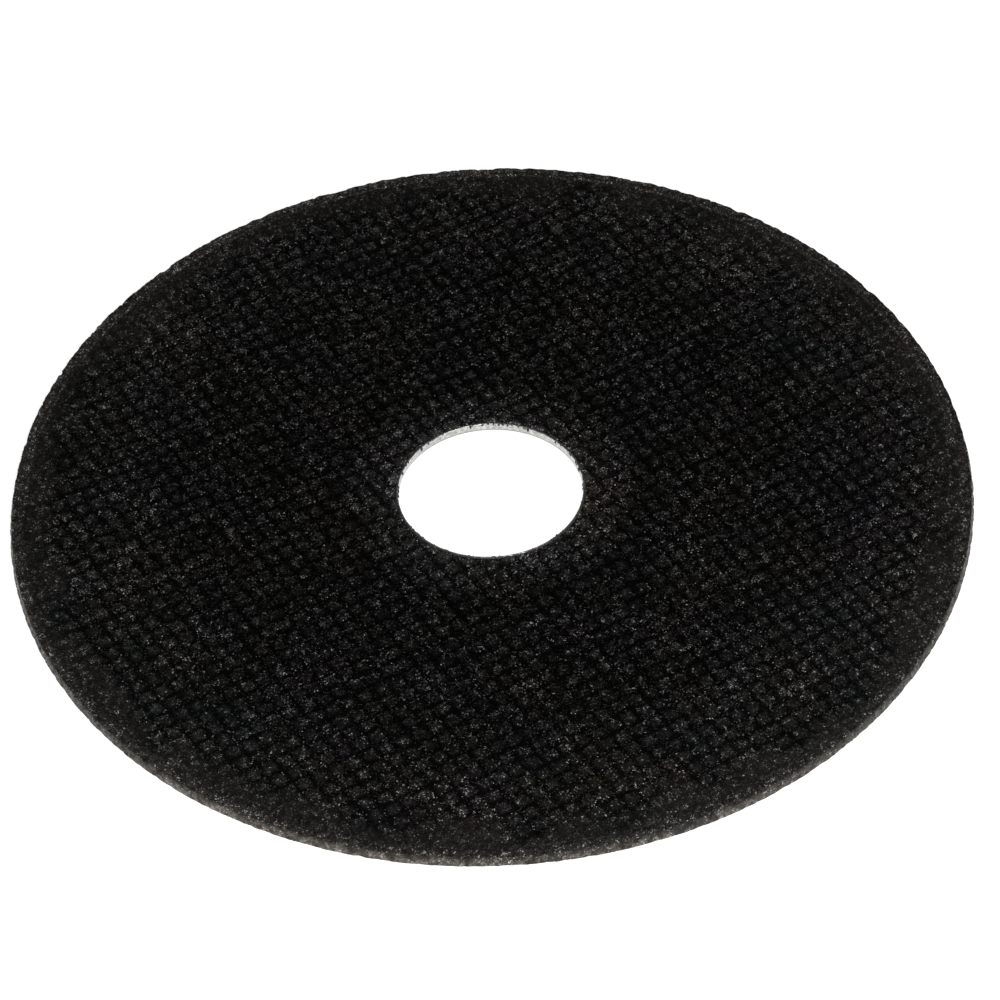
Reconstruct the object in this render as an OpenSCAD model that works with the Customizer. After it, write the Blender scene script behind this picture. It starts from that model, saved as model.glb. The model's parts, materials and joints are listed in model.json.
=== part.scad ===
// Thin resin-bonded cut-off wheel with a pressed steel bush in its bore.
// The wheel lies on its plain back. Z is the axis that it spins about, and the origin is on the back.

/* [Wheel] */
// Outside diameter of the wheel
wheel_d = 115; // [100:1:125]
// Thickness of the wheel
wheel_t = 1.2; // [1:0.1:3]
// Rounding of the two edges of the rim
rim_round = 0.15; // [0.1:0.05:0.45]
// Width of the flat band between the mesh and the rim
rim_band_w = 4.5; // [2:0.5:8]
// Diameter of the flat zone round the bore, where the machine's flange clamps
clamp_d = 35; // [30:1:42]

/* [Mesh relief] */
// Distance from one thread of the pressed-in mesh to the next
thread_pitch = 2.1; // [2:0.1:4]
// Depth of the furrow that a thread leaves between the pads
thread_depth = 0.12; // [0.05:0.01:0.2]
// Angle of the threads to the X axis
thread_angle = 29; // [0:1:90]

/* [Steel bush] */
// Diameter of the bore
bore_d = 22.23; // [16:0.01:25.4]
// Thickness of the sheet that the bush is pressed from
sheet_t = 0.2; // [0.15:0.05:0.4]
// Inside radius of the bend between the bush's sleeve and its flange
bend_r = 0.1; // [0.05:0.05:0.3]
// Width of the flange, from the sleeve to its edge
flange_w = 5; // [2:0.5:8]

/* [Hidden] */

$fn = 180;
// Steps in a quarter circle of a profile
arc_steps = 6;
// How far cutting shapes stand past the faces they cut
cut_over = 1;
// Drop of the pads' tops below the clamp zone, so that the clamp zone carries the load
pad_drop = 0.01;

wheel_r = wheel_d / 2;
bore_r = bore_d / 2;
seat_r = bore_r + sheet_t;
flange_r = seat_r + flange_w;
// The sleeve's and the flange's bend share this centre, on the wheel's side of the sheet
bend_centre = [seat_r + bend_r, sheet_t + bend_r];

mesh_in_r = clamp_d / 2;
mesh_out_r = wheel_r - rim_band_w;
furrow_z = wheel_t - thread_depth;
pad_z = wheel_t - pad_drop;

// Cells counted from the centre to the edge of the lattice, and grid points along one side
cells = ceil(mesh_out_r / thread_pitch) + 1;
row = 2 * cells + 1;

// Points on an arc about a centre, from one angle to another
function arc(centre, r, from, to) = [
    for (k = [0 : arc_steps])
        let (a = from + (to - from) * k / arc_steps)
            centre + r * [cos(a), sin(a)]
];

// Half section of the wheel: rounded rim, and a seat that follows the outside of the bush
module wheel_section() {
    rim_x = wheel_r - rim_round;
    polygon(concat(
        [[flange_r, 0]],
        arc([rim_x, rim_round], rim_round, -90, 0),
        arc([rim_x, wheel_t - rim_round], rim_round, 0, 90),
        [[seat_r, wheel_t]],
        arc(bend_centre, bend_r, 180, 270),
        [[flange_r, sheet_t]]
    ));
}

// Half section of the bush: a sleeve through the wheel, bent out into a flange under it
module bush_section() {
    polygon(concat(
        [[bore_r, wheel_t], [seat_r, wheel_t]],
        arc(bend_centre, bend_r, 180, 270),
        [[flange_r, sheet_t], [flange_r, 0]],
        arc(bend_centre, bend_r + sheet_t, 270, 180)
    ));
}

// A lattice cell belongs to the relief if any of it can lie inside the mesh's outer edge
function in_lattice(i, j) =
    norm([i + 0.5, j + 0.5]) * thread_pitch < mesh_out_r + thread_pitch * sqrt(0.5);

// Places in the point list: grid points, the same points above the wheel, pad tops, and the middle point
function low(i, j) = (i + cells) * row + j + cells;
function high(i, j) = row * row + low(i, j);
function top(i, j) = 2 * row * row + (i + cells) * 2 * cells + j + cells;
middle = 2 * row * row + 4 * cells * cells;

// One outer edge of the lattice: a wall up from it, and a sector of the flat lid
function edge_faces(a, b) = [
    [low(a[0], a[1]), low(b[0], b[1]), high(b[0], b[1]), high(a[0], a[1])],
    [high(a[0], a[1]), high(b[0], b[1]), middle]
];

// All that lies above the pads: each cell's floor rises from its four furrows to a low four-sided pad
module above_pads() {
    span = [-cells : cells];
    inner = [-cells : cells - 1];
    function level(z) = [for (i = span, j = span) [i * thread_pitch, j * thread_pitch, z]];
    tops = [for (i = inner, j = inner) [(i + 0.5) * thread_pitch, (j + 0.5) * thread_pitch, pad_z]];
    lid_z = wheel_t + cut_over;
    faces = [
        for (i = inner, j = inner)
            if (in_lattice(i, j))
                each concat(
                    [
                        [low(i, j), low(i + 1, j), top(i, j)],
                        [low(i + 1, j), low(i + 1, j + 1), top(i, j)],
                        [low(i + 1, j + 1), low(i, j + 1), top(i, j)],
                        [low(i, j + 1), low(i, j), top(i, j)]
                    ],
                    in_lattice(i, j - 1) ? [] : edge_faces([i + 1, j], [i, j]),
                    in_lattice(i + 1, j) ? [] : edge_faces([i + 1, j + 1], [i + 1, j]),
                    in_lattice(i, j + 1) ? [] : edge_faces([i, j + 1], [i + 1, j + 1]),
                    in_lattice(i - 1, j) ? [] : edge_faces([i, j], [i, j + 1])
                )
    ];
    polyhedron(concat(level(furrow_z), level(lid_z), tops, [[0, 0, lid_z]]), faces);
}

// The ring of the face that the mesh covers
module mesh_zone() {
    translate([0, 0, furrow_z - cut_over])
        difference() {
            cylinder(r = mesh_out_r, h = thread_depth + 2 * cut_over);
            translate([0, 0, -cut_over])
                cylinder(r = mesh_in_r, h = thread_depth + 4 * cut_over);
        }
}

module abrasive_wheel() {
    color("#1b1b1c")
        difference() {
            rotate_extrude()
                wheel_section();
            intersection() {
                rotate([0, 0, thread_angle])
                    above_pads();
                mesh_zone();
            }
        }
}

module steel_bush() {
    color("#c8cacb")
        rotate_extrude()
            bush_section();
}

abrasive_wheel();
steel_bush();
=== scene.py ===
"""Looks of a thin black cut-off wheel with a steel-lined bore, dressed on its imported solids."""

import functools
import json
import math

import bpy
import numpy as np
from mathutils import Matrix, Vector


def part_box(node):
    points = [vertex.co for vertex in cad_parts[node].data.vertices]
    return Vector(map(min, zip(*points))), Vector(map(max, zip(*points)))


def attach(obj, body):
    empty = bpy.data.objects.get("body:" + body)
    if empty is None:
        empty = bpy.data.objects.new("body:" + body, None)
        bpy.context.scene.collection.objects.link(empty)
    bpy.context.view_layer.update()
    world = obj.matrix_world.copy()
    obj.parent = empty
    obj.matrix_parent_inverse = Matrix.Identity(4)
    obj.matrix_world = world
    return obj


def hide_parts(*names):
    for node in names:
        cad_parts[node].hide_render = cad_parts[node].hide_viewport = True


bl_info = {
    "name": "Cut-off wheel",
    "version": (1, 0, 0),
    "blender": (4, 5, 0),
    "location": "View3D > Sidebar > Wheel",
    "description": "Builds the looks of a thin cut-off wheel on its packed solids",
    "category": "Object",
}

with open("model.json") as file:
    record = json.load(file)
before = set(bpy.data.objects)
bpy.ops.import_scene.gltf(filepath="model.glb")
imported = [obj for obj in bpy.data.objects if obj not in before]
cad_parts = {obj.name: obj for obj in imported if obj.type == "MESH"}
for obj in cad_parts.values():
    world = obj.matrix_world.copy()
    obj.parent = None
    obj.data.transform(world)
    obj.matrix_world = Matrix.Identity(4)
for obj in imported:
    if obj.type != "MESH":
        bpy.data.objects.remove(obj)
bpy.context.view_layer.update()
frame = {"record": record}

MM = 0.001
TURN = 2 * math.pi

wheel_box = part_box("abrasive_wheel")
bush_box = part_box("steel_bush")
bore_mount = next(mount for mount in frame["record"]["mounts"] if mount["name"] == "bore")

# The mesh was slack when it was pressed, so its threads stray from straight lines. In turns of the pitch,
# the stray of each set of threads at a place X, Y in wheel radii is the sum of these times 1, X, Y, XX, XY
# and YY.
WARP_STRAY = (0.06, -0.32, 0.37, -0.05, 0.07, 0.0)
WEFT_STRAY = (0.21, 0.33, 0.44, -0.62, -0.50, -0.10)

# Places of the grid lines in one pitch, in turns: the furrow, its two flanks, and the shoulders of the
# pads. The back has no lines on the flanks.
FACE_STATIONS = np.array([0.5, 0.64, 0.8, 1.2, 1.36])
BACK_STATIONS = np.array([0.5, 0.75, 1.25])

# Seeds of the random draws. The relief of a face also uses the number after its own.
FACE_SEED = 3
BACK_SEED = 5
RIM_GRAIN_SEED = 7
RIM_LUMP_SEED = 8
RIM_CHIP_SEED = 9
LIP_SEED = 11
DRIP_SEED = 12
LIP_HEIGHT_SEED = 13
BURR_SEED = 21
WARP_SEED = 31
WEFT_SEED = 32

# Crowding of the bright grains where there are no pads: on the rim and in the seat, and on the resin flash
RIM_CROWDING = 0.8
FLASH_CROWDING = 1.0

# Edges of the bush sharper than this stay creased
CREASE = math.radians(50)

# Studio: the camera's aim in millimetres, its sensor, and the lamps' places and width in metres
CAMERA_AIM = (1.06, -0.69, 0.0)
SENSOR_WIDTH = 36
KEY_PLACE = (0.063, -0.182, 0.230)
BACK_PLACE = (0.0, 0.0, -0.36)
LAMP_WIDTH = 0.2
BACK_POWER_SHARE = 1.3
ROOM_STRENGTH = 0.06


def to_linear(code):
    """Linear colour of an sRGB hex value."""
    parts = [int(code[k : k + 2], 16) / 255 for k in (1, 3, 5)]
    return [part / 12.92 if part <= 0.04045 else ((part + 0.055) / 1.055) ** 2.4 for part in parts]


def length(name, description, default_mm):
    """A length that a user can change, kept in metres."""
    return bpy.props.FloatProperty(
        name=name, description=description, default=default_mm * MM, precision=5, unit="LENGTH"
    )


def tilt(name, description, degrees):
    """An angle that a user can change, kept in radians."""
    return bpy.props.FloatProperty(
        name=name, description=description, default=math.radians(degrees), subtype="ANGLE"
    )


def colour(name, description, code):
    """A colour that a user can change, kept as linear numbers."""
    return bpy.props.FloatVectorProperty(
        name=name, description=description, default=to_linear(code), size=3, min=0, max=1, subtype="COLOR"
    )


class WheelSizes(bpy.types.PropertyGroup):
    """Sizes of the wheel and its bush"""

    wheel_radius: length("Wheel radius", "Outside radius of the wheel", wheel_box[1][1] / MM)
    wheel_thickness: length("Wheel thickness", "From the back to the pads", wheel_box[1][2] / MM)
    bore_radius: length("Bore radius", "Inside radius of the bush", bore_mount["dims"]["r_mm"])
    flange_radius: length("Flange radius", "Outside radius of the bush's flange", bush_box[1][1] / MM)
    sheet: length("Sheet", "Thickness of the bush's sheet steel", 0.2)
    bend: length("Bend", "Inside radius of the bend in the bush", 0.1)
    clamp_radius: length("Clamp radius", "Radius of the flatter zone round the bore", 17.5)
    rim_band: length("Rim band", "Width of the smooth band inside the rim", 4.5)
    edge_zone: length("Edge zone", "Width of the bare, slightly raised zone along the rim", 1.4)
    edge_bead: length("Edge bead", "Height of the edge zone above the pads' level", 0.03)
    edge_round: length("Edge round", "Rounding of the rim's upper edge", 0.08)
    edge_flare: length("Edge flare", "How far the foot of the rim stands out", 0.28)
    thread_pitch: length("Thread pitch", "Distance from one thread of the mesh to the next", 2.1)
    furrow_depth: length("Furrow depth", "Depth of a thread's furrow below the pads", 0.12)
    grit: length("Grit", "Width of a typical grain", 0.52)
    chip: length("Chip", "Width of a typical facet of a broken grain", 0.16)
    thread_angle: tilt("Thread angle", "Angle of the threads to X", 29)

    def mm(self, name):
        """One of the lengths in millimetres."""
        return getattr(self, name) / MM


class WheelColours(bpy.types.PropertyGroup):
    """Colours of the wheel and its bush"""

    resin: colour("Resin", "Black resin in the furrows", "#030303")
    coat: colour("Coat", "Resin over the grains of the pads", "#0e0e0d")
    # The grain colour paints the pale specks, which are partly pale grit and partly painted glints of the
    # grains' facets
    grain: colour("Grain", "Brightest chips of grit", "#b4b4b2")
    film: colour("Film", "Grey film of resin on the smooth band inside the rim", "#1d1c1a")
    bare_edge: colour("Bare edge", "Grit on the zone along the rim", "#2b2825")
    cut_edge: colour("Cut edge", "Bare grit on the rim's wall", "#44413d")
    rust_fleck: colour("Rust fleck", "Brown grains along the rim", "#3c2622")
    steel: colour("Steel", "Tinned steel of the bush", "#dadad7")
    stain: colour("Stain", "Resin smeared on the bush", "#4a4845")


class StudioSettings(bpy.types.PropertyGroup):
    """Camera and light"""

    camera_distance: length("Camera distance", "From the camera to the wheel's middle", 581.46)
    camera_elevation: tilt("Camera elevation", "Above the horizon", 45.71)
    camera_roll: tilt("Camera roll", "Tilt of the picture", -3.04)
    camera_lens: bpy.props.FloatProperty(
        name="Camera lens", description="Focal length in millimetres", default=174.3, min=1, unit="CAMERA"
    )
    key_power: bpy.props.FloatProperty(
        name="Key power", description="Power of the soft light overhead", default=1.14, min=0, unit="POWER"
    )
    floor: colour("Floor", "Plain pale floor", "#f4f4f3")


def smooth_step(low, high, values):
    """0 up to the low edge, 1 from the high edge on, and a soft S between them."""
    t = np.clip((values - low) / (high - low), 0, 1)
    return t * t * (3 - 2 * t)


def waves(places, seed, count, shortest, longest):
    """Gentle unevenness: the sum of plane waves with seeded directions, lengths and starts, scaled to
    about 1."""
    draw = np.random.default_rng(seed)
    heading = draw.uniform(0, TURN, count)
    stretch = TURN / np.exp(draw.uniform(math.log(shortest), math.log(longest), count))
    start = draw.uniform(0, TURN, count)
    ways = np.stack([np.cos(heading), np.sin(heading)]) * stretch
    return np.cos(places @ ways + start).sum(-1) * math.sqrt(2 / count)


def thread_turns(sizes, places):
    """Thread coordinates of places: distance across each set of threads in pitches, plus the mesh's stray
    and a small waviness of either set."""
    waviness = 0.02
    angle = sizes.thread_angle
    across = np.array([[math.cos(angle), -math.sin(angle)], [math.sin(angle), math.cos(angle)]])
    x, y = (places / sizes.mm("wheel_radius")).T
    terms = np.stack([np.ones_like(x), x, y, x * x, x * y, y * y], -1)
    stray = terms @ np.array([WARP_STRAY, WEFT_STRAY]).T
    wavy = [waves(places, seed, count=20, shortest=4.5, longest=15) for seed in (WARP_SEED, WEFT_SEED)]
    return places @ across / sizes.mm("thread_pitch") + stray + waviness * np.stack(wavy, -1)


def thread_places(sizes, turns):
    """The places with these thread coordinates: a straight lattice, then moved until the turns agree."""
    rounds = 8
    angle = sizes.thread_angle
    along = np.array([[math.cos(angle), math.sin(angle)], [-math.sin(angle), math.cos(angle)]])
    places = turns @ along * sizes.mm("thread_pitch")
    for _ in range(rounds):
        places = places + (turns - thread_turns(sizes, places)) @ along * sizes.mm("thread_pitch")
    return places


def pad_share(turns):
    """1 on top of a pad and 0 in a furrow: the product of a soft rise away from the furrow of either
    thread. The rise starts and ends at these distances from the furrow's middle, in turns."""
    rise_start = 0.03
    rise_end = 0.30
    rise = smooth_step(rise_start, rise_end, 0.5 - np.abs(turns - np.round(turns)))
    return rise[:, 0] * rise[:, 1]


def relief(sizes, places, turns, seed):
    """Height below the pads' level: furrows between the pads, fainter in the clamp zone and the rim band,
    with pads of uneven height and a slow waviness of the whole face. Also returns how crowded the bright
    grains are: most on the pads, on a few of them far more than on the rest, and least in the furrows."""
    draw_table = (61, 67)
    lowest_pad = 0.62
    plain_crowding = 0.68
    extra_crowding = 0.6
    clamp_strength = 0.85
    mesh_gain = 0.15
    band_loss = 0.7
    sway = 0.012
    draw = np.random.default_rng(seed)
    pad = np.round(turns).astype(int)
    cell = (pad[:, 0] % draw_table[0], pad[:, 1] % draw_table[1])
    height = draw.uniform(lowest_pad, 1.0, draw_table)[cell]
    crowding = plain_crowding + extra_crowding * draw.uniform(0, 1, draw_table)[cell] ** 4
    radius = np.hypot(places[:, 0], places[:, 1])
    mesh_edge = sizes.mm("wheel_radius") - sizes.mm("rim_band")
    clamp_edge = sizes.mm("clamp_radius")
    strength = clamp_strength + mesh_gain * smooth_step(clamp_edge - 0.5, clamp_edge + 1.5, radius)
    strength *= 1 - band_loss * smooth_step(mesh_edge - 0.6, mesh_edge + 1.2, radius)
    share = pad_share(turns)
    uneven = sway * waves(places, seed + 1, count=24, shortest=5, longest=22) - sway
    drop = uneven - sizes.mm("furrow_depth") * strength * (1 - share * height)
    return drop, share * crowding


def border_order(faces, places, outer):
    """Numbers of the points on the outer or inner border of a flat ring of faces, in order of angle. A
    border edge is one that no face uses the other way round. The order comes from doubling: each point
    adds the steps of the point that it leads to, and then leads twice as far."""
    count = len(places)
    start = faces.ravel()
    end = np.roll(faces, -1, axis=1).ravel()
    free = ~np.isin(start * count + end, end * count + start)
    radius = np.hypot(places[:, 0], places[:, 1])
    chosen = free & ((radius[start] > radius.mean()) == outer)
    start, end = (start[chosen], end[chosen]) if outer else (end[chosen], start[chosen])
    by_number = np.argsort(start)
    start, end = start[by_number], end[by_number]
    if len(np.unique(start)) != len(start):
        raise RuntimeError("the border of the lattice touches itself")
    following = np.searchsorted(start, end)
    angle = np.arctan2(places[start, 1], places[start, 0]) % TURN
    last = following == np.argmin(angle)
    following[last] = np.flatnonzero(last)
    steps = np.where(last, 0, 1)
    for _ in range(len(start).bit_length()):
        steps = steps + steps[following]
        following = following[following]
    return start[np.argsort(-steps)]


def ring_angles(places):
    """Angles of points in order round the axis, each at least a little past the one before it."""
    least_step = 1e-5
    angle = np.unwrap(np.arctan2(places[:, 1], places[:, 0]) % TURN)
    steps = least_step * np.arange(len(angle))
    return np.maximum.accumulate(angle - steps) + steps


def on_circle(angle, radius, height):
    """Points on a circle about the axis."""
    return np.stack(np.broadcast_arrays(radius * np.cos(angle), radius * np.sin(angle), height), -1)


def row_numbers(points, first=0):
    """Numbers of points that lie in rows, counted on from the first one."""
    return first + np.arange(points[..., 0].size).reshape(points.shape[:2])


def lattice_ring(sizes, stations, inner_radius, outer_radius):
    """A flat ring whose grid lines follow the threads, closer together at the flanks of the pads. Cells
    with no point well inside the ring are left out, and the points on its two borders move onto its
    circles. Returns places, thread turns, four-sided faces, and the outer and inner border in order of
    angle."""
    margin = 0.2
    spare_threads = 3
    reach = math.ceil(outer_radius / sizes.mm("thread_pitch")) + spare_threads
    lines = (np.arange(-reach, reach + 1)[:, None] + stations).ravel()
    side = len(lines)
    turns = np.stack(np.meshgrid(lines, lines, indexing="ij"), -1).reshape(-1, 2)
    places = thread_places(sizes, turns)
    radius = np.hypot(places[:, 0], places[:, 1]).reshape(side, side)
    inside = (radius > inner_radius + margin) & (radius < outer_radius - margin)
    kept = inside[:-1, :-1] | inside[1:, :-1] | inside[1:, 1:] | inside[:-1, 1:]
    number = np.arange(side * side).reshape(side, side)
    faces = np.stack([number[:-1, :-1], number[1:, :-1], number[1:, 1:], number[:-1, 1:]], -1)[kept]
    used, faces = np.unique(faces, return_inverse=True)
    faces = faces.reshape(-1, 4)
    places = places[used]
    borders = []
    for outer, border_radius in ((True, outer_radius), (False, inner_radius)):
        border = border_order(faces, places, outer)
        places[border] = on_circle(ring_angles(places[border]), border_radius, 0.0)[:, :2]
        borders.append(border)
    return places, thread_turns(sizes, places), faces, borders[0], borders[1]


def strip(rows):
    """Four-sided faces between rows of point numbers that run round the axis, each row further along the
    outward way than the one before."""
    ahead = np.roll(rows, -1, axis=1)
    return np.stack([ahead[:-1], rows[:-1], rows[1:], ahead[1:]], -1).reshape(-1, 4)


def stitch(first, first_angle, second, second_angle):
    """Triangles between two rings with different counts. The points of both are passed in order of angle,
    and each one closes a triangle with the point before it and the last point passed on the other ring."""
    order = np.argsort(np.concatenate([first_angle, second_angle]), kind="stable")
    from_first = order < len(first)
    at_first = np.cumsum(from_first) - 1
    at_second = np.cumsum(~from_first) - 1
    ahead = np.stack([first[at_first], first[at_first - 1], second[at_second]], -1)[from_first]
    beside = np.stack([first[at_first], second[at_second - 1], second[at_second]], -1)[~from_first]
    return np.concatenate([ahead, beside])


def ring_noise(count, seed, width):
    """Seeded noise round a ring of columns, smoothed by a bell that many columns wide, scaled to about 1."""
    white = np.random.default_rng(seed).normal(0, 1, count)
    bell = np.exp(-0.5 * (np.fft.fftfreq(count) * TURN * width) ** 2)
    rough = np.fft.ifft(np.fft.fft(white) * bell).real
    return rough / rough.std()


def rim_surface(sizes, start_r, angle):
    """Rows of points over the rim, from the start of the edge zone round to the back. The profile rises to
    a low bead, crosses the bare zone, turns a small rounded edge and flares at its foot. Lumps and grains
    roughen it, and chips have broken from its upper edge."""
    bead_steps = np.array([0.03, 0.2, 0.7])
    start_dip = 0.04
    zone_fall = 0.01
    edge_drop = 0.01
    edge_stand = 0.02
    edge_width = 0.5
    wall_shares = np.array([0.75, 0.5, 0.3, 0.16, 0.07, 0.0])
    flare_power = 1.5
    back_inset = 0.6
    lump_height = 0.03
    grain_height = 0.025
    most_proud = 0.04
    chip_depth = 0.08
    chip_from = 0.9
    chip_limit = 1.5
    top_share = 0.8
    wheel_r = sizes.mm("wheel_radius")
    wheel_t = sizes.mm("wheel_thickness")
    edge_round = sizes.mm("edge_round")
    bead_z = wheel_t + sizes.mm("edge_bead")
    quarter = np.radians(np.linspace(0, 90, 4))

    edge_r = wheel_r + edge_stand - edge_round
    edge_z = wheel_t - edge_drop
    wall_z = wheel_t * wall_shares
    wall_r = wheel_r + sizes.mm("edge_flare") * (1 - wall_z / wheel_t) ** flare_power
    line_r = np.concatenate([
        start_r + bead_steps,
        edge_r + edge_round * np.sin(quarter),
        wall_r,
        [wheel_r - back_inset],
    ])[:, None]
    line_z = np.concatenate([
        [wheel_t - start_dip, bead_z, bead_z - zone_fall],
        edge_z - edge_round * (1 - np.cos(quarter)),
        wall_z,
        [0.0],
    ])[:, None]

    circle = on_circle(angle, wheel_r, 0.0)[:, :2]
    draw = np.random.default_rng(RIM_GRAIN_SEED)
    ragged = lump_height * waves(circle, RIM_LUMP_SEED, count=60, shortest=0.8, longest=5)
    ragged = ragged + draw.normal(0, grain_height, (len(line_r), len(angle)))
    chips = ring_noise(len(angle), RIM_CHIP_SEED, width=0.8)
    broken = chip_depth * np.clip(chips - chip_from, 0, chip_limit)
    at_top = smooth_step(0.5 * wheel_t, 0.85 * wheel_t, line_z)
    at_edge = smooth_step(edge_r - edge_width, wheel_r, line_r)
    radius = line_r + (np.minimum(ragged, most_proud) - broken * at_top) * at_edge
    height = line_z + (top_share * ragged - broken * at_edge) * at_top
    return on_circle(angle, radius, height)


def seat_surface(sizes, angle):
    """Rows of points down the bush's seat and along its recess: an arc round the bend, then out to the
    flange's edge and halfway down it."""
    sheet = sizes.mm("sheet")
    bend = sizes.mm("bend")
    seat_r = sizes.mm("bore_radius") + sheet
    flange_r = sizes.mm("flange_radius")
    corner = np.radians(np.linspace(180, 270, 4))
    line_r = np.concatenate([seat_r + bend + bend * np.cos(corner), [flange_r, flange_r]])
    line_z = np.concatenate([sheet + bend + bend * np.sin(corner), [sheet, sheet / 2]])
    return on_circle(angle, line_r[:, None], line_z[:, None])


def wheel_surface(sizes):
    """The wheel as one closed skin. The face and the back are rings of lattice with the relief of the mesh.
    The rim joins their outer borders, and the seat of the bush joins their inner ones. Returns points,
    four-sided faces, triangles, and the crowding of the bright grains at each point."""
    wheel_t = sizes.mm("wheel_thickness")
    seat_r = sizes.mm("bore_radius") + sizes.mm("sheet")
    rim_start = sizes.mm("wheel_radius") - sizes.mm("edge_zone")

    face_xy, face_turns, face_faces, face_outer, face_inner = lattice_ring(
        sizes, FACE_STATIONS, seat_r, rim_start
    )
    back_xy, back_turns, back_faces, back_outer, back_inner = lattice_ring(
        sizes, BACK_STATIONS, sizes.mm("flange_radius"), rim_start
    )
    face_drop, face_crowding = relief(sizes, face_xy, face_turns, FACE_SEED)
    back_drop, back_crowding = relief(sizes, back_xy, back_turns, BACK_SEED)
    face_points = np.column_stack([face_xy, wheel_t + face_drop])
    back_points = np.column_stack([back_xy, np.maximum(-back_drop, 0)])
    outer_angle = ring_angles(face_xy[face_outer])
    inner_angle = ring_angles(face_xy[face_inner])
    rim_points = rim_surface(sizes, rim_start, outer_angle)
    seat_points = seat_surface(sizes, inner_angle)

    back_first = len(face_points)
    rim_first = back_first + len(back_points)
    rim_rows = row_numbers(rim_points, rim_first)
    seat_rows = row_numbers(seat_points, rim_first + rim_rows.size)
    back_outer_angle = ring_angles(back_xy[back_outer])
    back_inner_angle = ring_angles(back_xy[back_inner])
    quads = np.concatenate([
        face_faces,
        back_first + back_faces[:, ::-1],
        strip(np.vstack([face_outer, rim_rows])),
        strip(np.vstack([face_inner, seat_rows]))[:, ::-1],
    ])
    triangles = np.concatenate([
        stitch(rim_rows[-1], outer_angle, back_first + back_outer, back_outer_angle),
        stitch(seat_rows[-1], inner_angle, back_first + back_inner, back_inner_angle)[:, ::-1],
    ])
    points = np.concatenate([
        face_points, back_points, rim_points.reshape(-1, 3), seat_points.reshape(-1, 3)
    ])
    elsewhere = np.full(len(points) - rim_first, RIM_CROWDING)
    return points, quads, triangles, np.concatenate([face_crowding, back_crowding, elsewhere])


def revolved(radius, height, columns):
    """A closed profile carried round the axis. Radius and height have a row for each profile point, in
    order with the material on the left, and one column, or one for each column of the ring."""
    angle = np.arange(columns) * TURN / columns
    points = on_circle(angle, radius, height)
    rows = row_numbers(points)
    ahead = np.roll(rows, -1, axis=1)
    below = np.roll(rows, -1, axis=0)
    quads = np.stack([rows, ahead, np.roll(ahead, -1, axis=0), below], -1).reshape(-1, 4)
    return points.reshape(-1, 3), quads


def bush_surface(sizes):
    """The bush: a sleeve bent out into a flange, as one closed profile of straight lines and two arcs about
    the same centre, carried round the axis. The top of the sleeve is slightly burred."""
    columns = 720
    soft = 0.04
    soft_middle = 0.3
    burr_height = 0.025
    burred_rows = (1, 2)
    wheel_t = sizes.mm("wheel_thickness")
    bore_r = sizes.mm("bore_radius")
    sheet = sizes.mm("sheet")
    bend = sizes.mm("bend")
    flange_r = sizes.mm("flange_radius")
    centre_r = bore_r + sheet + bend
    centre_z = sheet + bend
    corner = np.radians(np.linspace(180, 270, 9))
    outside_r = centre_r + (bend + sheet) * np.cos(corner)
    outside_z = centre_z + (bend + sheet) * np.sin(corner)
    inside_r = centre_r + bend * np.cos(corner[::-1])
    inside_z = centre_z + bend * np.sin(corner[::-1])
    top_r = [bore_r + sheet, bore_r + sheet - soft, bore_r + soft, bore_r + soft * soft_middle, bore_r]
    top_z = [wheel_t - soft, wheel_t, wheel_t, wheel_t - soft * soft_middle, wheel_t - soft]
    edge_r = [flange_r - soft, flange_r, flange_r, flange_r - soft]
    edge_z = [0, soft, sheet - soft, sheet]
    wall_z = centre_z + (wheel_t - soft - centre_z) * np.linspace(0.75, 0.25, 3)
    wall_r = np.full(len(wall_z), bore_r)
    radius = np.concatenate([top_r, wall_r, outside_r, edge_r, inside_r])[:, None]
    height = np.concatenate([top_z, wall_z, outside_z, edge_z, inside_z])[:, None]
    burred = np.isin(np.arange(len(radius)), burred_rows)[:, None]
    burr = burr_height * np.abs(ring_noise(columns, BURR_SEED, width=2)) * burred
    return revolved(radius, height + burr, columns)


def flash_surface(sizes):
    """Resin that ran over the bush when the wheel was pressed. A thin lip lies on the edge of the face.
    Where seeded noise takes it past the sleeve it hangs down the wall of the bore as a ragged drip. Its
    profile changes with the reach of the lip and is carried round the axis."""
    columns = 1440
    mean_reach = 0.13
    slow_reach = 0.06
    ragged_reach = 0.09
    least_reach = -0.02
    most_reach = 0.36
    least_drip = 0.03
    drip_rate = 2.6
    lip_height = 0.008
    lip_spread = 0.012
    wheel_t = sizes.mm("wheel_thickness")
    sheet = sizes.mm("sheet")
    seat_r = sizes.mm("bore_radius") + sheet
    slow = ring_noise(columns, LIP_SEED, width=14)
    quick = ring_noise(columns, DRIP_SEED, width=1.6)
    reach = np.clip(mean_reach + slow_reach * slow + ragged_reach * quick, least_reach, most_reach)
    past = np.maximum(reach - sheet, 0)
    drip = least_drip + drip_rate * past
    edge = seat_r - reach
    lip = wheel_t + lip_height + lip_spread * ring_noise(columns, LIP_HEIGHT_SEED, width=2)
    # Radius and height of each profile point: the foot in the face, the lip, its edge, and the drip
    profile = (
        (seat_r + 0.12, wheel_t - 0.15),
        (seat_r + 0.10, wheel_t - 0.02),
        (seat_r + 0.02, lip),
        (edge + 0.05, lip),
        (edge, wheel_t - 0.4 * drip),
        (edge + 0.015 + 0.3 * past, wheel_t - drip),
        (seat_r - 0.08, wheel_t - drip - 0.03),
    )
    radius = np.stack([np.broadcast_to(point[0], columns) for point in profile])
    height = np.stack([np.broadcast_to(point[1], columns) for point in profile])
    return revolved(radius, height, columns)


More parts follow.
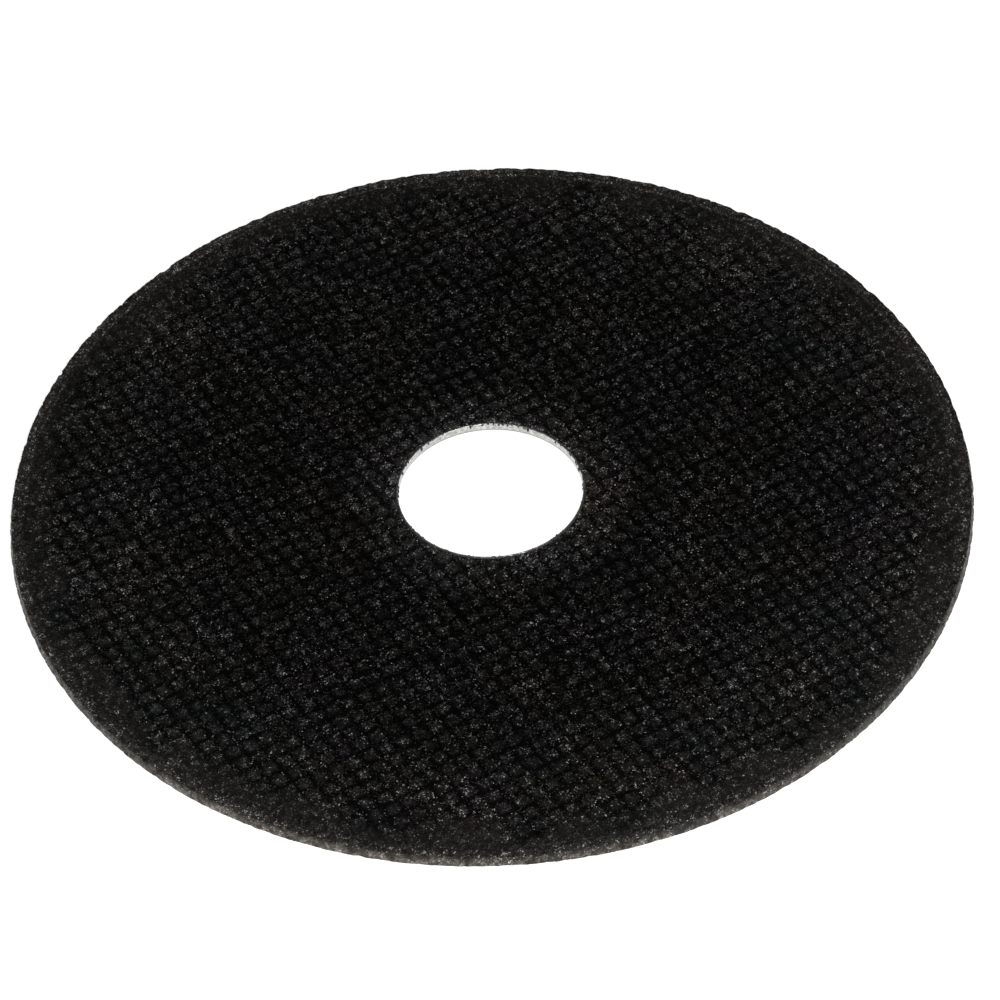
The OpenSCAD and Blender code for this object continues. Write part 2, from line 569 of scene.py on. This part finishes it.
def make_piece(name, points, faces, material, crowding=None):
    """A mesh object at the origin, smooth, with its place in its points, which are given in millimetres.
    The crowding of bright grains, where there is one, is kept as the attribute pad."""
    mesh = bpy.data.meshes.new(name)
    mesh.from_pydata((points * MM).tolist(), [], faces)
    if mesh.validate():
        raise RuntimeError(f"{name} has broken faces")
    mesh.polygons.foreach_set("use_smooth", np.ones(len(mesh.polygons), bool))
    mesh.materials.append(material)
    if crowding is not None:
        mesh.attributes.new("pad", "FLOAT", "POINT").data.foreach_set("value", crowding)
    piece = bpy.data.objects.new(name, mesh)
    bpy.context.collection.objects.link(piece)
    return piece


def add_node(tree, kind, inputs=None, **settings):
    """Adds a node, sets its settings, fills its inputs with values or with links from other nodes, and
    returns its outputs. Inputs go by number where names repeat. In a map range, 0 is the value, 1 and 2
    the span that it comes from, and 3 and 4 the span that it goes to. In a mix, 0 is the share, 2 and 3
    are two numbers, and 6 and 7 are two colours."""
    node = tree.nodes.new(kind)
    for name, value in settings.items():
        setattr(node, name, value)
    for socket, value in (inputs or {}).items():
        if isinstance(value, bpy.types.NodeSocket):
            tree.links.new(value, node.inputs[socket])
        else:
            node.inputs[socket].default_value = value
    return node.outputs


def new_material(name):
    """An empty node material, and add_node for its tree."""
    material = bpy.data.materials.new(name)
    material.use_nodes = True
    material.node_tree.nodes.clear()
    return material, functools.partial(add_node, material.node_tree)


def bonded_abrasive(sizes, colours):
    """Grit bonded with black resin, pressed hot on a glass mesh and cured. The resin coats the grains, so
    the face is near black, and chips of grain that stand clear of it are pale specks, most of them on the
    pads; the specks are partly pale grit and partly painted glints of the grains' facets. The face is
    painted paler round the bore and towards the rim, as painted sheen and glare, with a ring of painted
    shade just outside the clamp zone. On the rim itself the grains are bare, with painted light on one side
    and a painted glint along the far side's low step, and the rim's wall has painted light at its foot and
    on the left."""
    material, node = new_material("bonded_abrasive")
    wheel_r = sizes.mm("wheel_radius")
    wheel_t = sizes.mm("wheel_thickness")
    clamp_r = sizes.mm("clamp_radius")
    seat_r = sizes.mm("bore_radius") + sizes.mm("sheet")
    band_r = wheel_r - sizes.mm("rim_band")
    zone_r = wheel_r - sizes.mm("edge_zone")
    # Radius of a dark ring of painted shade just outside the clamp zone, as of a shallow trough that is not
    # built, and of the low step where the edge zone starts
    shade_ring_r = clamp_r + 1.7
    ridge_r = zone_r + 0.02
    # Widths in millimetres of the clouds on the face and of the smears on the rim
    cloud_width = 9
    smear_width = 1.1
    # Way across the face towards which the rim's bare zone is painted lighter; it is painted darker on the
    # opposite side
    painted_light_side = (-0.9, 0.45, 0)
    gloss = 0.06
    soft = {"interpolation_type": "SMOOTHSTEP"}

    # Places in millimetres, and the distance from the axis
    coordinates = node("ShaderNodeTexCoord")["Object"]
    place = node("ShaderNodeVectorMath", {0: coordinates, "Scale": 1 / MM}, operation="SCALE")[0]
    flat = node("ShaderNodeVectorMath", {0: place, 1: (1, 1, 0)}, operation="MULTIPLY")[0]
    radius = node("ShaderNodeVectorMath", {0: flat}, operation="LENGTH")["Value"]
    across = node("ShaderNodeSeparateXYZ", {0: place})
    pad = node("ShaderNodeAttribute", attribute_name="pad")["Fac"]

    # Zones of the face: paler round the bore and palest at its very edge, which is painted sheen of the
    # smoother clamp zone, paler outwards, which is painted glare, and a smooth band inside the rim that
    # starts unevenly
    painted_bore_sheen = node("ShaderNodeMapRange", {0: radius, 1: clamp_r + 1, 2: seat_r, 3: 1.0, 4: 3.4})[0]
    collar = node("ShaderNodeMapRange", {0: radius, 1: seat_r + 1, 2: seat_r, 3: 0.0, 4: 7.0})[0]
    painted_outer_glare = node(
        "ShaderNodeMapRange", {0: radius, 1: 0.6 * wheel_r, 2: band_r, 3: 0.0, 4: 1.2}, **soft
    )[0]
    painted_sheen_and_glare = painted_bore_sheen
    for share in (collar, painted_outer_glare):
        painted_sheen_and_glare = node("ShaderNodeMath", {0: painted_sheen_and_glare, 1: share}, operation="ADD")[0]
    clouds = node("ShaderNodeTexNoise", {"Vector": place, "Scale": 1 / cloud_width, "Detail": 2.0})
    cloud = clouds["Fac"]
    patchy = node("ShaderNodeMapRange", {0: cloud, 1: 0.3, 2: 0.7, 3: -2.5, 4: 2.5})[0]
    ragged = node("ShaderNodeMath", {0: radius, 1: patchy}, operation="ADD")[0]
    band = node(
        "ShaderNodeMapRange", {0: ragged, 1: band_r - 1.5, 2: band_r + 2.5, 3: 0.0, 4: 0.8}, **soft
    )[0]

    # Zones of the rim: the bare edge, with painted light on its far-left side and painted shade on its
    # near-right side, a painted glint along the low step at its start on the far side, and the wall
    edge = node("ShaderNodeMapRange", {0: radius, 1: zone_r + 0.05, 2: zone_r + 0.85}, **soft)[0]
    side = node("ShaderNodeVectorMath", {0: place, 1: painted_light_side}, operation="DOT_PRODUCT")["Value"]
    painted_side_light = node("ShaderNodeMapRange", {0: side, 1: -wheel_r, 2: wheel_r, 3: 0.3, 4: 1.1})[0]
    edge_bare_side_lit = node("ShaderNodeMath", {0: edge, 1: painted_side_light}, operation="MULTIPLY")[0]
    off_ridge = node("ShaderNodeMath", {0: radius, 1: ridge_r}, operation="SUBTRACT")[0]
    from_ridge = node("ShaderNodeMath", {0: off_ridge}, operation="ABSOLUTE")[0]
    near_ridge = node("ShaderNodeMapRange", {0: from_ridge, 1: 0.08, 2: 0.3, 3: 1.0, 4: 0.0})[0]
    painted_far_glint = node("ShaderNodeMapRange", {0: across[1], 1: -0.3 * wheel_r, 2: 0.6 * wheel_r})[0]
    painted_ridge_glint = node("ShaderNodeMath", {0: near_ridge, 1: painted_far_glint}, operation="MULTIPLY")[0]
    # The bare zone carries the real bare grit, and with it the painted side light and the far side's painted
    # glint
    bare = node("ShaderNodeMath", {0: edge_bare_side_lit, 1: painted_ridge_glint}, operation="MAXIMUM")[0]
    wall = node("ShaderNodeMapRange", {0: radius, 1: wheel_r - 0.14, 2: wheel_r}, **soft)[0]

    # Each grain is a cell with a facet turned its own way, and finer cells break large facets into chips
    grain = node("ShaderNodeTexVoronoi", {"Vector": place, "Scale": 1 / sizes.mm("grit")})
    chip = node("ShaderNodeTexVoronoi", {"Vector": place, "Scale": 1 / sizes.mm("chip")})
    grain_draws = node("ShaderNodeSeparateColor", {0: grain["Color"]})
    chip_draws = node("ShaderNodeSeparateColor", {0: chip["Color"]})
    both = node("ShaderNodeMix", {0: 0.5, 6: grain["Color"], 7: chip["Color"]}, data_type="RGBA")[2]
    lean = node("ShaderNodeVectorMath", {0: both, 1: (0.5, 0.5, 0.5)}, operation="SUBTRACT")[0]
    steep = node("ShaderNodeMapRange", {0: pad, 1: 0.0, 2: 0.8, 3: 0.6, 4: 1.2})[0]
    turned = node("ShaderNodeVectorMath", {0: lean, "Scale": steep}, operation="SCALE")[0]
    normal = node("ShaderNodeNewGeometry")["Normal"]
    leaning = node("ShaderNodeVectorMath", {0: normal, 1: turned}, operation="ADD")[0]
    facet = node("ShaderNodeVectorMath", {0: leaning}, operation="NORMALIZE")[0]

    # Few chips are pale, in their middles, more on some grains, on the pads, in clumps and where the sheen
    # and glare are painted; the pale chips are partly the grit's own colour and partly painted glints of the
    # grains' facets
    rare = node("ShaderNodeMath", {0: chip_draws[1], 1: 9.0}, operation="POWER")[0]
    middle = node("ShaderNodeMapRange", {0: chip["Distance"], 1: 0.2, 2: 0.75, 3: 1.0, 4: 0.0}, **soft)[0]
    few = node("ShaderNodeMath", {0: grain_draws[1], 1: 6.0}, operation="POWER")[0]
    by_grain = node("ShaderNodeMapRange", {0: few, 3: 0.13, 4: 2.4})[0]
    by_pad = node("ShaderNodeMapRange", {0: pad, 1: 0.0, 2: 1.25, 3: 0.4, 4: 1.45})[0]
    by_clump = node("ShaderNodeMapRange", {0: cloud, 1: 0.25, 2: 0.75, 3: 0.55, 4: 1.3}, **soft)[0]
    # Fewer pale specks in that ring: painted shade
    off_ring = node("ShaderNodeMath", {0: radius, 1: shade_ring_r}, operation="SUBTRACT")[0]
    from_ring = node("ShaderNodeMath", {0: off_ring}, operation="ABSOLUTE")[0]
    by_painted_shade_ring = node("ShaderNodeMapRange", {0: from_ring, 1: 0.6, 2: 2.6, 3: 0.65, 4: 1.0}, **soft)[0]
    by_band = node("ShaderNodeMapRange", {0: band, 3: 1.0, 4: 0.5})[0]
    by_edge = node("ShaderNodeMapRange", {0: bare, 3: 1.0, 4: 4.3})[0]
    by_wall = node("ShaderNodeMapRange", {0: wall, 3: 1.0, 4: 0.5})[0]
    by_painted_sheen = node("ShaderNodeMath", {0: painted_sheen_and_glare, 1: 0.55, 2: 0.45}, operation="MULTIPLY_ADD")[0]
    smear = node("ShaderNodeTexNoise", {"Vector": place, "Scale": 1 / smear_width, "Detail": 2.0})["Fac"]
    patches = node("ShaderNodeMapRange", {0: smear, 1: 0.3, 2: 0.7, 3: 0.4, 4: 1.6})[0]
    by_patch = node("ShaderNodeMix", {0: edge, 2: 1.0, 3: patches})[0]
    speck_and_glint = rare
    for share in (
        middle, by_grain, by_pad, by_clump, by_painted_shade_ring, by_band, by_edge, by_wall, by_patch, by_painted_sheen
    ):
        speck_and_glint = node("ShaderNodeMath", {0: speck_and_glint, 1: share}, operation="MULTIPLY")[0]

    # Under the specks: black resin in the furrows and coated grains, faintly warm or cool from place to
    # place, then film on the band and bare grit on the edge and the wall
    coated = node("ShaderNodeMapRange", {0: pad, 1: 0.0, 2: 0.9}, **soft)[0]
    tone = node(
        "ShaderNodeMix", {0: coated, 6: (*colours.resin, 1), 7: (*colours.coat, 1)}, data_type="RGBA"
    )[2]
    # Painted sheen and glare: the ground is scaled paler round the bore and outwards
    tone = node("ShaderNodeVectorMath", {0: tone, "Scale": painted_sheen_and_glare}, operation="SCALE")[0]
    tint = node(
        "ShaderNodeVectorMath",
        {0: clouds["Color"], 1: (1.0, 0.7, 1.2), 2: (0.55, 0.62, 0.33)},
        operation="MULTIPLY_ADD",
    )[0]
    tone = node("ShaderNodeVectorMath", {0: tone, 1: tint}, operation="MULTIPLY")[0]
    for share, paint in ((band, colours.film), (bare, colours.bare_edge), (wall, colours.cut_edge)):
        tone = node("ShaderNodeMix", {0: share, 6: tone, 7: (*paint, 1)}, data_type="RGBA")[2]

    # Grains differ in tone, smears cross the edge, and the wall gets painted light at its foot, standing for
    # light thrown up by the white floor, and painted light on the left, standing for light from that side
    foot = node("ShaderNodeMapRange", {0: across[2], 1: 0.0, 2: wheel_t, 3: 2.1, 4: 0.45})[0]
    left = node("ShaderNodeMapRange", {0: across[0], 1: -0.7 * wheel_r, 2: 0.0, 3: 1.7, 4: 0.85})[0]
    painted_foot_light = node("ShaderNodeMath", {0: foot, 1: left}, operation="MULTIPLY")[0]
    by_painted_wall_light = node("ShaderNodeMix", {0: wall, 2: 1.0, 3: painted_foot_light})[0]
    mottled = node("ShaderNodeMath", {0: grain_draws[1], 1: chip_draws[1]}, operation="MULTIPLY")[0]
    tone_smear_and_painted_light = node("ShaderNodeMapRange", {0: mottled, 3: 0.5, 4: 2.5})[0]
    for share in (by_painted_wall_light, by_patch):
        tone_smear_and_painted_light = node("ShaderNodeMath", {0: tone_smear_and_painted_light, 1: share}, operation="MULTIPLY")[0]
    mottle = node("ShaderNodeVectorMath", {0: tone, "Scale": tone_smear_and_painted_light}, operation="SCALE")[0]
    # Pale specks: partly the grit's own colour, partly painted glints
    specked_and_glinting = node("ShaderNodeMix", {0: speck_and_glint, 6: mottle, 7: (*colours.grain, 1)}, data_type="RGBA")[2]

    # A few rusty grains along the rim
    rusty = node("ShaderNodeMapRange", {0: grain_draws[0], 1: 0.7, 2: 0.75})[0]
    stained = node("ShaderNodeMapRange", {0: cloud, 1: 0.64, 2: 0.70})[0]
    for share in (stained, bare):
        rusty = node("ShaderNodeMath", {0: rusty, 1: share}, operation="MULTIPLY")[0]
    base = node("ShaderNodeMix", {0: rusty, 6: specked_and_glinting, 7: (*colours.rust_fleck, 1)}, data_type="RGBA")[2]

    # Some grains are glassy and some dull
    roughness = node("ShaderNodeMapRange", {0: grain_draws[2], 3: 0.16, 4: 0.34})[0]
    shader = node(
        "ShaderNodeBsdfPrincipled",
        {"Base Color": base, "Roughness": roughness, "Normal": facet, "Specular IOR Level": gloss},
    )[0]
    node("ShaderNodeOutputMaterial", {"Surface": shader})
    return material


def tinned_steel(sizes, colours):
    """Thin sheet steel with a coat of tin, drawn to shape: pale and dull bright, with streaks that run
    round the bore, stains of resin high on the wall, and a dull line where the sheet bends."""
    material, node = new_material("tinned_steel")
    wheel_t = sizes.mm("wheel_thickness") * MM
    bend_z = (sizes.mm("sheet") + 0.7 * sizes.mm("bend")) * MM
    # Drawing marks to the metre: some 0.45 mm long round the bore, and 0.25 mm apart along the axis
    marks_per_metre = (2200, 2200, 4000)
    mark_depth = 0.03 * MM
    mark_strength = 0.5
    stain_width = 0.25 * MM
    stain_sharpness = 8.0
    dull = [0.5 * part for part in colours.steel]
    coordinates = node("ShaderNodeTexCoord")["Object"]
    height = node("ShaderNodeSeparateXYZ", {0: coordinates})[2]

    stretched = node(
        "ShaderNodeVectorMath", {0: coordinates, 1: marks_per_metre}, operation="MULTIPLY"
    )[0]
    marks = node("ShaderNodeTexNoise", {"Vector": stretched, "Scale": 1.0, "Detail": 3.0})[0]
    streaks = node("ShaderNodeMapRange", {0: marks, 1: 0.35, 2: 0.65})[0]
    # The stains thin out down the wall
    stain = node("ShaderNodeTexNoise", {"Vector": coordinates, "Scale": 1 / stain_width, "Detail": 2.0})[0]
    bar = node("ShaderNodeMapRange", {0: height, 1: 0.35 * wheel_t, 2: wheel_t, 3: 0.74, 4: 0.61})[0]
    over = node("ShaderNodeMath", {0: stain, 1: bar}, operation="SUBTRACT")[0]
    stained = node("ShaderNodeMath", {0: over, 1: stain_sharpness}, operation="MULTIPLY", use_clamp=True)[0]
    off_bend = node("ShaderNodeMath", {0: height, 1: bend_z}, operation="SUBTRACT")[0]
    from_bend = node("ShaderNodeMath", {0: off_bend}, operation="ABSOLUTE")[0]
    bend_line = node("ShaderNodeMapRange", {0: from_bend, 1: 0.06 * MM, 2: 0.16 * MM, 3: 1.0, 4: 0.0})[0]

    tone = node("ShaderNodeMix", {0: streaks, 6: (*dull, 1), 7: (*colours.steel, 1)}, data_type="RGBA")[2]
    lined = node("ShaderNodeMix", {0: bend_line, 6: tone, 7: (*dull, 1)}, data_type="RGBA")[2]
    base = node("ShaderNodeMix", {0: stained, 6: lined, 7: (*colours.stain, 1)}, data_type="RGBA")[2]
    roughness = node("ShaderNodeMapRange", {0: marks, 1: 0.3, 2: 0.7, 3: 0.26, 4: 0.44})[0]
    bump = node("ShaderNodeBump", {"Strength": mark_strength, "Distance": mark_depth, "Height": marks})[0]
    shader = node(
        "ShaderNodeBsdfPrincipled",
        {"Base Color": base, "Metallic": 1.0, "Roughness": roughness, "Normal": bump},
    )[0]
    node("ShaderNodeOutputMaterial", {"Surface": shader})
    return material


def white_sweep(studio):
    """Painted floor and backdrop: plain white to the eye and in gloss, keeps the object's shadow, and lets
    a camera below look through it at the wheel's back."""
    material, node = new_material("white_sweep")
    own_light = 0.9
    lit_grey = (0.25, 0.25, 0.25, 1)
    path = node("ShaderNodeLightPath")
    seen = path["Is Camera Ray"]
    for ray in ("Is Glossy Ray", "Is Transmission Ray"):
        seen = node("ShaderNodeMath", {0: seen, 1: path[ray]}, operation="MAXIMUM")[0]
    paint = node("ShaderNodeBsdfDiffuse", {"Color": (*studio.floor, 1)})[0]
    glow = node("ShaderNodeEmission", {"Color": (1, 1, 1, 1), "Strength": own_light})[0]
    shadowed = node("ShaderNodeBsdfDiffuse", {"Color": lit_grey})[0]
    white = node("ShaderNodeAddShader", {0: glow, 1: shadowed})[0]
    top = node("ShaderNodeMixShader", {0: seen, 1: paint, 2: white})[0]
    clear = node("ShaderNodeBsdfTransparent")[0]
    under = node("ShaderNodeNewGeometry")["Backfacing"]
    either = node("ShaderNodeMixShader", {0: under, 1: top, 2: clear})[0]
    node("ShaderNodeOutputMaterial", {"Surface": either})
    return material


class WHEEL_OT_abrasive(bpy.types.Operator):
    """Builds the abrasive wheel with the relief of its mesh"""

    bl_idname = "wheel.abrasive"
    bl_label = "Abrasive wheel"

    def execute(self, context):
        sizes = context.scene.wheel_sizes
        material = bonded_abrasive(sizes, context.scene.wheel_colours)
        points, quads, triangles, crowding = wheel_surface(sizes)
        faces = quads.tolist() + triangles.tolist()
        piece = make_piece("wheel_body", points, faces, material, crowding)
        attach(piece, "root")
        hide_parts("abrasive_wheel")
        return {"FINISHED"}


class WHEEL_OT_flash(bpy.types.Operator):
    """Builds the resin that ran over the edge of the bush"""

    bl_idname = "wheel.flash"
    bl_label = "Resin flash"

    def execute(self, context):
        material = bpy.data.materials["bonded_abrasive"]
        points, quads = flash_surface(context.scene.wheel_sizes)
        crowding = np.full(len(points), FLASH_CROWDING)
        piece = make_piece("resin_flash", points, quads.tolist(), material, crowding)
        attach(piece, "root")
        return {"FINISHED"}


class WHEEL_OT_bush(bpy.types.Operator):
    """Builds the steel bush that lines the bore"""

    bl_idname = "wheel.bush"
    bl_label = "Steel bush"

    def execute(self, context):
        sizes = context.scene.wheel_sizes
        material = tinned_steel(sizes, context.scene.wheel_colours)
        points, quads = bush_surface(sizes)
        piece = make_piece("bush_lining", points, quads.tolist(), material)
        piece.data.set_sharp_from_angle(angle=CREASE)
        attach(piece, "root")
        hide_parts("steel_bush")
        return {"FINISHED"}


class WHEEL_OT_studio(bpy.types.Operator):
    """Sets up the floor, the light and the camera"""

    bl_idname = "wheel.studio"
    bl_label = "Studio"

    def execute(self, context):
        scene = context.scene
        studio = scene.wheel_studio
        scene.view_settings.view_transform = "Standard"
        self.add_sweep(studio)
        self.add_light(scene, studio)
        self.add_camera(scene, studio)
        return {"FINISHED"}

    def add_sweep(self, studio):
        """A round floor that curves up into a low wall: a profile carried round the axis, closed at the
        middle. It lies a hair above the wheel's back, so that the back can be seen from below."""
        columns = 96
        lift = 0.03
        flat_r = [400.0, 1000.0]
        curve_start = 1300
        curve_r = 400
        curve = np.radians(np.linspace(0, 80, 9))
        radius = np.concatenate([flat_r, curve_start + curve_r * np.sin(curve)])[:, None]
        height = np.concatenate([[0.0, 0.0], curve_r * (1 - np.cos(curve))])[:, None] + lift
        angle = np.arange(columns) * TURN / columns
        rings = on_circle(angle, radius, height)
        rows = row_numbers(rings, 1)
        ahead = np.roll(rows, -1, axis=1)
        quads = np.stack([rows[:-1], rows[1:], ahead[1:], ahead[:-1]], -1).reshape(-1, 4)
        middle = np.stack([np.zeros(columns, int), rows[0], ahead[0]], -1)
        points = np.concatenate([[[0.0, 0.0, lift]], rings.reshape(-1, 3)])
        sweep = make_piece("floor", points, quads.tolist() + middle.tolist(), white_sweep(studio))

    def add_light(self, scene, studio):
        """A soft lamp above the near side, a like one under the floor for the back, and a dim room."""
        for name, place, power in (
            ("key_light", KEY_PLACE, studio.key_power),
            ("back_light", BACK_PLACE, BACK_POWER_SHARE * studio.key_power),
        ):
            lamp = bpy.data.lights.new(name, "AREA")
            lamp.energy = power
            lamp.size = LAMP_WIDTH
            holder = bpy.data.objects.new(name, lamp)
            holder.location = place
            holder.rotation_euler = Vector(place).to_track_quat("Z", "Y").to_euler()
            scene.collection.objects.link(holder)
        world = bpy.data.worlds.new("plain_room")
        world.use_nodes = True
        background = world.node_tree.nodes["Background"].inputs
        background["Color"].default_value = (1, 1, 1, 1)
        background["Strength"].default_value = ROOM_STRENGTH
        scene.world = world

    def add_camera(self, scene, studio):
        """A long lens from the near side, aimed a little off the axis and rolled a little."""
        aim = Vector(CAMERA_AIM) * MM
        away = Vector((0, -math.cos(studio.camera_elevation), math.sin(studio.camera_elevation)))
        station = away * studio.camera_distance
        camera = bpy.data.cameras.new("camera")
        camera.lens = studio.camera_lens
        camera.sensor_width = SENSOR_WIDTH
        camera.clip_start = 10 * MM
        holder = bpy.data.objects.new("camera", camera)
        look = (aim - station).to_track_quat("-Z", "Y").to_matrix()
        roll = Matrix.Rotation(studio.camera_roll, 3, "Z")
        holder.matrix_world = Matrix.Translation(station) @ (look @ roll).to_4x4()
        scene.collection.objects.link(holder)
        scene.camera = holder


class WHEEL_PT_panel(bpy.types.Panel):
    """Lists the pieces of the wheel in the sidebar"""

    bl_idname = "WHEEL_PT_panel"
    bl_label = "Cut-off wheel"
    bl_space_type = "VIEW_3D"
    bl_region_type = "UI"
    bl_category = "Wheel"

    def draw(self, context):
        for operator in OPERATORS:
            self.layout.operator(operator.bl_idname)
        for name in GROUPS:
            group = getattr(context.scene, name)
            box = self.layout.box()
            for setting in group.__annotations__:
                box.prop(group, setting)


GROUPS = {"wheel_sizes": WheelSizes, "wheel_colours": WheelColours, "wheel_studio": StudioSettings}
OPERATORS = (WHEEL_OT_abrasive, WHEEL_OT_flash, WHEEL_OT_bush, WHEEL_OT_studio)


def register():
    """Makes the settings, the operators and the panel known to Blender."""
    for name, group in GROUPS.items():
        bpy.utils.register_class(group)
        setattr(bpy.types.Scene, name, bpy.props.PointerProperty(type=group))
    for item in (*OPERATORS, WHEEL_PT_panel):
        bpy.utils.register_class(item)


def unregister():
    """Takes back what register did, in the opposite order."""
    for item in (WHEEL_PT_panel, *reversed(OPERATORS)):
        bpy.utils.unregister_class(item)
    for name, group in reversed(GROUPS.items()):
        delattr(bpy.types.Scene, name)
        bpy.utils.unregister_class(group)


def main():
    """Builds the pieces and the stage in order."""
    register()
    bpy.ops.wheel.abrasive()
    bpy.ops.wheel.flash()
    bpy.ops.wheel.bush()
    bpy.ops.wheel.studio()


if __name__ == "__main__":
    main()
